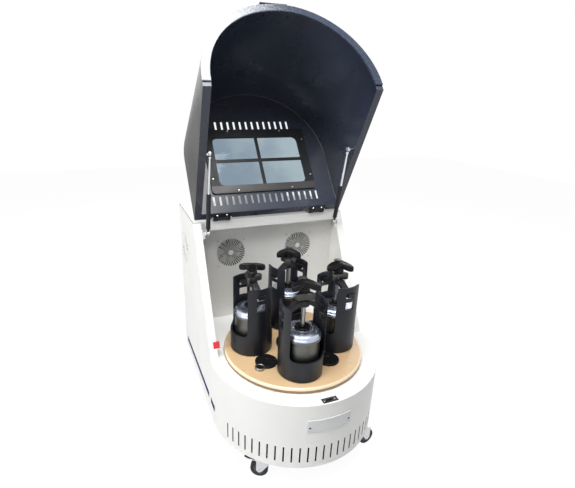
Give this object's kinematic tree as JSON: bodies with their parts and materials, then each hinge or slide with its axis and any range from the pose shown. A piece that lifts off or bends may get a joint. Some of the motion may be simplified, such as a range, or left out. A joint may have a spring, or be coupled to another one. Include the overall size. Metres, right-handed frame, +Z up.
{
  "type": "planetary ball mill",
  "caption": "Floor-standing planetary ball mill on casters: round-fronted cabinet, hinged windowed hood on gas struts, and a turntable with clamped grinding jars.",
  "frame": {"origin": "on the floor, under the middle of the machine with its hood open", "axes": "+Z up, -Y the round front, +X to the right seen from the front; the turntable turns about Z"},
  "size_m": [0.6, 0.8746, 1.4756],
  "materials": {
    "white_paint": "smooth white powder coat",
    "hood_paint": "warm grey outside, dark navy semi-gloss inside",
    "black_metal": "black oxide and black paint",
    "black_plastic": "moulded black plastic",
    "tan_coating": "satin tan coating with a rounded rim",
    "stainless": "polished stainless steel",
    "steel": "zinc-plated steel",
    "chrome": "bright chrome",
    "foam": "pale grey foam strip",
    "pane": "clear sheet, pale blue against the dark",
    "red": "red plastic",
    "tyre": "black rubber tread",
    "cast_grey": "grey painted casting"
  },
  "bodies": {
    "cabinet": {"cabinet_shell": "white_paint", "fan_panel": "white_paint", "tower_cover": "white_paint", "base_plate": "black_metal", "label_plate": "white_paint", "latch_strike": "black_metal", "lid_sensor": "red", "tower_hinge_leaf_left": "black_metal", "tower_hinge_leaf_right": "black_metal", "drive_motor": "cast_grey", "sun_pulley": "steel", "fan_frame_left": "black_plastic", "fan_frame_right": "black_plastic", "power_inlet": "black_plastic", "control_panel": "white_paint", "rear_fork_left": "steel", "rear_fork_right": "steel"},
    "hood": {"hood_shell": "hood_paint", "hood_gasket": "foam", "window_frame": "black_metal", "window_pane": "pane", "hood_hinge_leaf_left": "black_metal", "hood_hinge_leaf_right": "black_metal", "hood_handle": "black_plastic"},
    "turntable": {"turntable_disc": "tan_coating", "hub_cap": "black_plastic"},
    "strut_cylinder_left": {"strut_cylinder_left": "black_metal"},
    "strut_rod_left": {"strut_rod_left": "chrome"},
    "strut_cylinder_right": {"strut_cylinder_right": "black_metal"},
    "strut_rod_right": {"strut_rod_right": "chrome"},
    "planet_1": {"jar_holder_1": "black_metal", "grinding_jar_1": "stainless", "jar_lid_1": "stainless"},
    "clamp_bar_1": {"clamp_bar_1": "black_metal"},
    "clamp_screw_1": {"clamp_screw_1": "black_plastic"},
    "planet_2": {"jar_holder_2": "black_metal", "grinding_jar_2": "stainless", "jar_lid_2": "stainless"},
    "clamp_bar_2": {"clamp_bar_2": "black_metal"},
    "clamp_screw_2": {"clamp_screw_2": "black_plastic"},
    "planet_3": {"jar_holder_3": "black_metal", "grinding_jar_3": "stainless", "jar_lid_3": "stainless"},
    "clamp_bar_3": {"clamp_bar_3": "black_metal"},
    "clamp_screw_3": {"clamp_screw_3": "black_plastic"},
    "planet_4": {"jar_holder_4": "black_metal", "grinding_jar_4": "stainless", "jar_lid_4": "stainless"},
    "clamp_bar_4": {"clamp_bar_4": "black_metal"},
    "clamp_screw_4": {"clamp_screw_4": "black_plastic"},
    "fan_rotor_left": {"fan_rotor_left": "black_plastic"},
    "fan_rotor_right": {"fan_rotor_right": "black_plastic"},
    "stop_button": {"stop_button": "red"},
    "front_fork_left": {"front_fork_left": "steel"},
    "front_wheel_left": {"front_wheel_left": "tyre"},
    "brake_pedal": {"brake_pedal": "chrome"},
    "front_fork_right": {"front_fork_right": "steel"},
    "front_wheel_right": {"front_wheel_right": "tyre"},
    "rear_wheel_left": {"rear_wheel_left": "tyre"},
    "rear_wheel_right": {"rear_wheel_right": "tyre"}
  },
  "joints": [
    {"name": "hood_hinge", "type": "hinge", "parent": "cabinet", "child": "hood", "pos_m": [0, 0.10895, 0.771], "axis": [1, 0, 0], "range_deg": [0, 127.7]},
    {"name": "strut_pivot_left", "type": "hinge", "parent": "cabinet", "child": "strut_cylinder_left", "pos_m": [-0.254, 0.07096, 0.732], "axis": [1, 0, 0], "range_deg": [0, 140.65]},
    {"name": "strut_slide_left", "type": "slide", "parent": "strut_cylinder_left", "child": "strut_rod_left", "axis": [0, -0.1857, 0.9826], "range_m": [-0.08031, 0]},
    {"name": "strut_pivot_right", "type": "hinge", "parent": "cabinet", "child": "strut_cylinder_right", "pos_m": [0.254, 0.07096, 0.732], "axis": [1, 0, 0], "range_deg": [0, 140.65]},
    {"name": "strut_slide_right", "type": "slide", "parent": "strut_cylinder_right", "child": "strut_rod_right", "axis": [0, -0.1857, 0.9826], "range_m": [-0.08031, 0]},
    {"name": "turntable_spin", "type": "hinge", "parent": "cabinet", "child": "turntable", "pos_m": [0, -0.13404, 0.3515], "axis": [0, 0, 1], "continuous": true},
    {"name": "planet_spin_1", "type": "hinge", "parent": "turntable", "child": "planet_1", "pos_m": [-0.03731, -0.2783, 0.3515], "axis": [0, 0, 1], "continuous": true},
    {"name": "clamp_screw_turn_1", "type": "hinge", "parent": "planet_1", "child": "clamp_screw_1", "pos_m": [-0.03731, -0.2783, 0.6515], "axis": [0, 0, 1], "range_deg": [0, 1080]},
    {"name": "clamp_bar_drop_1", "type": "slide", "parent": "planet_1", "child": "clamp_bar_1", "axis": [0, 0, 1], "range_m": [-0.006, 0]},
    {"name": "planet_spin_2", "type": "hinge", "parent": "turntable", "child": "planet_2", "pos_m": [0.14425, -0.17135, 0.3515], "axis": [0, 0, 1], "continuous": true},
    {"name": "clamp_screw_turn_2", "type": "hinge", "parent": "planet_2", "child": "clamp_screw_2", "pos_m": [0.14425, -0.17135, 0.6515], "axis": [0, 0, 1], "range_deg": [0, 1080]},
    {"name": "clamp_bar_drop_2", "type": "slide", "parent": "planet_2", "child": "clamp_bar_2", "axis": [0, 0, 1], "range_m": [-0.006, 0]},
    {"name": "planet_spin_3", "type": "hinge", "parent": "turntable", "child": "planet_3", "pos_m": [0.03731, 0.01021, 0.3515], "axis": [0, 0, 1], "continuous": true},
    {"name": "clamp_screw_turn_3", "type": "hinge", "parent": "planet_3", "child": "clamp_screw_3", "pos_m": [0.03731, 0.01021, 0.6515], "axis": [0, 0, 1], "range_deg": [0, 1080]},
    {"name": "clamp_bar_drop_3", "type": "slide", "parent": "planet_3", "child": "clamp_bar_3", "axis": [0, 0, 1], "range_m": [-0.006, 0]},
    {"name": "planet_spin_4", "type": "hinge", "parent": "turntable", "child": "planet_4", "pos_m": [-0.14425, -0.09674, 0.3515], "axis": [0, 0, 1], "continuous": true},
    {"name": "clamp_screw_turn_4", "type": "hinge", "parent": "planet_4", "child": "clamp_screw_4", "pos_m": [-0.14425, -0.09674, 0.6515], "axis": [0, 0, 1], "range_deg": [0, 1080]},
    {"name": "clamp_bar_drop_4", "type": "slide", "parent": "planet_4", "child": "clamp_bar_4", "axis": [0, 0, 1], "range_m": [-0.006, 0]},
    {"name": "fan_spin_left", "type": "hinge", "parent": "cabinet", "child": "fan_rotor_left", "pos_m": [-0.144, 0.18096, 0.612], "axis": [0, 1, 0], "continuous": true},
    {"name": "fan_spin_right", "type": "hinge", "parent": "cabinet", "child": "fan_rotor_right", "pos_m": [0.144, 0.18096, 0.612], "axis": [0, 1, 0], "continuous": true},
    {"name": "stop_button_press", "type": "slide", "parent": "cabinet", "child": "stop_button", "axis": [0, 0.2442, -0.9697], "range_m": [0, 0.004]},
    {"name": "caster_swivel_left", "type": "hinge", "parent": "cabinet", "child": "front_fork_left", "pos_m": [-0.16998, -0.34202, 0.0847], "axis": [0, 0, 1], "continuous": true},
    {"name": "front_wheel_roll_left", "type": "hinge", "parent": "front_fork_left", "child": "front_wheel_left", "pos_m": [-0.19117, -0.33075, 0.03], "axis": [-0.4695, -0.8829, 0], "continuous": true},
    {"name": "brake_pedal_press", "type": "hinge", "parent": "front_fork_left", "child": "brake_pedal", "pos_m": [-0.19647, -0.32793, 0.067], "axis": [-0.4695, -0.8829, 0], "range_deg": [0, 18]},
    {"name": "caster_swivel_right", "type": "hinge", "parent": "cabinet", "child": "front_fork_right", "pos_m": [0.2, -0.32901, 0.0847], "axis": [0, 0, 1], "continuous": true},
    {"name": "front_wheel_roll_right", "type": "hinge", "parent": "front_fork_right", "child": "front_wheel_right", "pos_m": [0.22363, -0.32484, 0.03], "axis": [-0.1736, 0.9848, 0], "continuous": true},
    {"name": "rear_wheel_roll_left", "type": "hinge", "parent": "cabinet", "child": "rear_wheel_left", "pos_m": [-0.245, 0.29596, 0.03], "axis": [1, 0, 0], "continuous": true},
    {"name": "rear_wheel_roll_right", "type": "hinge", "parent": "cabinet", "child": "rear_wheel_right", "pos_m": [0.245, 0.29596, 0.03], "axis": [1, 0, 0], "continuous": true}
  ],
  "couplings": [
    {"joint": "strut_pivot_left", "follows": "hood_hinge", "ratio": 1.1014},
    {"joint": "strut_slide_left", "follows": "hood_hinge", "m_per_rad": -0.036034},
    {"joint": "strut_pivot_right", "follows": "hood_hinge", "ratio": 1.1014},
    {"joint": "strut_slide_right", "follows": "hood_hinge", "m_per_rad": -0.036034},
    {"joint": "planet_spin_1", "follows": "turntable_spin", "ratio": -2},
    {"joint": "clamp_screw_turn_1", "follows": "clamp_bar_drop_1", "rad_per_m": -3141.6},
    {"joint": "planet_spin_2", "follows": "turntable_spin", "ratio": -2},
    {"joint": "clamp_screw_turn_2", "follows": "clamp_bar_drop_2", "rad_per_m": -3141.6},
    {"joint": "planet_spin_3", "follows": "turntable_spin", "ratio": -2},
    {"joint": "clamp_screw_turn_3", "follows": "clamp_bar_drop_3", "rad_per_m": -3141.6},
    {"joint": "planet_spin_4", "follows": "turntable_spin", "ratio": -2},
    {"joint": "clamp_screw_turn_4", "follows": "clamp_bar_drop_4", "rad_per_m": -3141.6}
  ]
}
